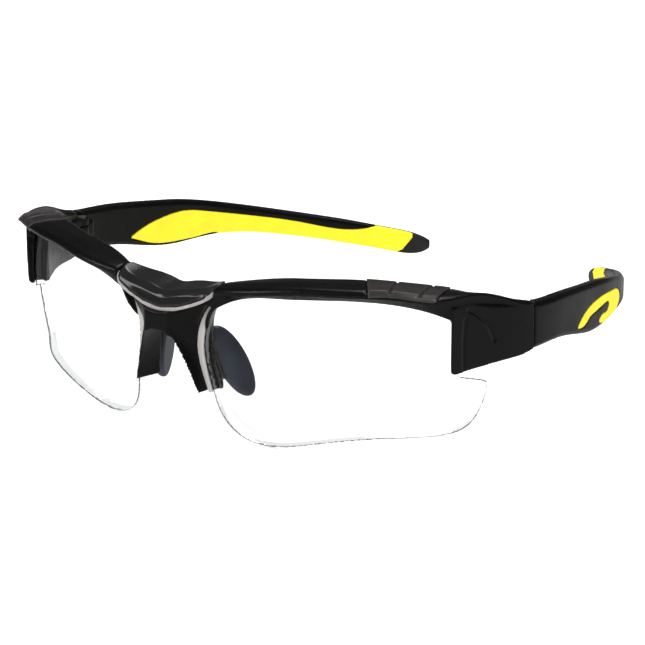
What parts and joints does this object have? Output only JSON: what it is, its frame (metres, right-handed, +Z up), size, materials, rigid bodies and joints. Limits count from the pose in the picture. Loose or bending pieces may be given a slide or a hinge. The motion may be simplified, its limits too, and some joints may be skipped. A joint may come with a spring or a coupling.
{
  "type": "sports protective glasses",
  "caption": "Wrap-around half-rim sports protective eyewear with clear shields, nose pads and folding temples with soft grips.",
  "frame": {"origin": "on the mirror plane between the two brow bars, level with the top of the nose arch and in line with the bars' front edges at the bridge", "axes": "+X to the wearer's left, +Y back along the opened temples, +Z up; the object is mirrored about x = 0"},
  "size_m": [0.1418, 0.1609, 0.0427],
  "materials": {
    "frame_plastic": "semi-gloss moulded nylon with a fine grain on the nose arms",
    "temple_plastic": "gloss black moulded nylon",
    "bridge_cover": "gloss dark grey",
    "trim": "satin dark grey",
    "lens": "clear polished polycarbonate",
    "gasket": "pale grey soft strip",
    "pad_rubber": "soft dark blue-black",
    "grip_rubber": "yellow soft-touch",
    "tip_rubber": "black soft-touch",
    "screw_steel": "plain",
    "insert_brass": "plain"
  },
  "bodies": {
    "frame": {"front_frame": "frame_plastic", "bridge_cover": "bridge_cover", "lens_left": "lens", "lens_right": "lens", "lens_gasket_left": "gasket", "lens_gasket_right": "gasket", "brow_trim_left": "trim", "brow_trim_right": "trim", "nose_pad_left": "pad_rubber", "nose_pad_right": "pad_rubber", "pad_carrier_left": "frame_plastic", "pad_carrier_right": "frame_plastic", "hinge_screw_left": "screw_steel", "hinge_screw_right": "screw_steel", "hinge_insert_left": "insert_brass", "hinge_insert_right": "insert_brass"},
    "temple_left": {"temple_arm_left": "temple_plastic", "temple_grip_left": "grip_rubber", "temple_tip_left": "tip_rubber"},
    "temple_right": {"temple_arm_right": "temple_plastic", "temple_grip_right": "grip_rubber", "temple_tip_right": "tip_rubber"}
  },
  "joints": [
    {"name": "temple_left_fold", "type": "hinge", "parent": "frame", "child": "temple_left", "pos_m": [0.0664, 0.0503, -0.0063], "axis": [0, 0, 1], "range_deg": [0, 82]},
    {"name": "temple_right_fold", "type": "hinge", "parent": "frame", "child": "temple_right", "pos_m": [-0.0664, 0.0503, -0.0063], "axis": [0, 0, -1], "range_deg": [0, 67]}
  ]
}
